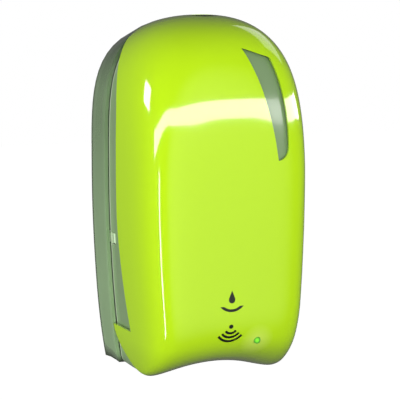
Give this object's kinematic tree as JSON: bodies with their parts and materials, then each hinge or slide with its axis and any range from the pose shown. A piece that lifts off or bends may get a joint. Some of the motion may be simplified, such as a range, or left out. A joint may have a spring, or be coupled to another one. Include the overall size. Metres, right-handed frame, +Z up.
{
  "type": "wall mounted soap dispenser",
  "caption": "Touch-free wall soap dispenser with a glossy lime hinged cover, smoked side panes, a sight window, an inner tank, a gear pump and a key lock.",
  "frame": {"origin": "centre of the pattern of wall screw holes, on the wall plane", "axes": "+Z up, +Y into the wall, the front faces -Y, +X to the right of someone facing the dispenser"},
  "size_m": [0.129, 0.128, 0.2542],
  "materials": {
    "lime_plastic": "glossy moulded ABS",
    "smoked_plastic": "smoked see-through plastic",
    "housing_plastic": "smoked see-through plastic, lighter",
    "catch_plastic": "pale plastic",
    "steel": "zinc plated",
    "grey_plastic": "moulded ABS",
    "cell_jacket": "printed jacket",
    "motor_can": "plated steel can",
    "white_plastic": "natural polymer",
    "silicone": "silicone",
    "black_rubber": "nitrile rubber",
    "board_green": "solder mask",
    "chip_black": "moulded epoxy",
    "ir_dark": "infrared filter plastic",
    "green_lens": "clear tinted lens",
    "lock_black": "black moulded plastic",
    "switch_orange": "moulded",
    "button_green": "moulded"
  },
  "bodies": {
    "base": {"rear_housing": "housing_plastic", "side_catches": "catch_plastic", "hinge_pins": "steel", "pump_chassis": "grey_plastic", "chassis_screws": "steel", "battery_box": "grey_plastic", "battery_cells": "cell_jacket", "battery_springs": "steel", "battery_plates": "steel", "gear_motor": "motor_can", "motor_screws": "steel", "pump_body": "white_plastic", "pump_gasket": "black_rubber", "pump_cover": "grey_plastic", "pump_screws": "steel", "inlet_tube": "silicone", "outlet_tube": "silicone", "spout": "grey_plastic", "duckbill_valve": "silicone", "control_board": "board_green", "board_parts": "chip_black", "sensor_board": "board_green", "ir_sensors": "ir_dark", "sensor_window": "ir_dark", "led_board": "board_green", "status_led": "green_lens", "switch_body": "grey_plastic", "button_housing": "grey_plastic", "tank": "white_plastic", "lid_pin": "steel", "mouth_seal": "black_rubber", "lock_keeper": "steel", "keeper_screws": "steel"},
    "cover": {"smoked_hood": "smoked_plastic", "front_cover": "lime_plastic", "cover_clips": "steel", "light_pipe": "green_lens", "lock_barrel": "lock_black", "lock_nut": "steel"},
    "lock": {"lock_core": "lock_black", "lock_cam": "steel", "cam_screw": "steel"},
    "lid": {"tank_lid": "grey_plastic"},
    "door": {"battery_door": "grey_plastic"},
    "pump_drive": {"pump_drive_gear": "white_plastic"},
    "pump_idler": {"pump_idler_gear": "white_plastic"},
    "slider": {"switch_slider": "switch_orange"},
    "button": {"dose_button": "button_green"}
  },
  "joints": [
    {"name": "cover_hinge", "type": "hinge", "parent": "base", "child": "cover", "pos_m": [0, -0.033, -0.131], "axis": [1, 0, 0], "range_deg": [0, 80]},
    {"name": "lock_turn", "type": "hinge", "parent": "cover", "child": "lock", "pos_m": [0, -0.066, 0.1], "axis": [0, 0, 1], "range_deg": [0, 90]},
    {"name": "lid_hinge", "type": "hinge", "parent": "base", "child": "lid", "pos_m": [-0.024, -0.043, 0.0638], "axis": [-1, 0, 0], "range_deg": [0, 100]},
    {"name": "door_slide", "type": "slide", "parent": "base", "child": "door", "axis": [-1, 0, 0], "range_m": [0, 0.008]},
    {"name": "pump_spin", "type": "hinge", "parent": "base", "child": "pump_drive", "pos_m": [-0.0075, -0.089, -0.088], "axis": [0, 1, 0], "continuous": true},
    {"name": "idler_spin", "type": "hinge", "parent": "base", "child": "pump_idler", "pos_m": [0.0075, -0.089, -0.088], "axis": [0, 1, 0], "continuous": true},
    {"name": "switch_slide", "type": "slide", "parent": "base", "child": "slider", "axis": [1, 0, 0], "range_m": [0, 0.004]},
    {"name": "button_press", "type": "slide", "parent": "base", "child": "button", "axis": [0, 1, 0], "range_m": [0, 0.0015], "stiffness_N_per_m": 400, "springref_m": -0.001}
  ],
  "couplings": [
    {"joint": "idler_spin", "follows": "pump_spin", "ratio": -1}
  ]
}
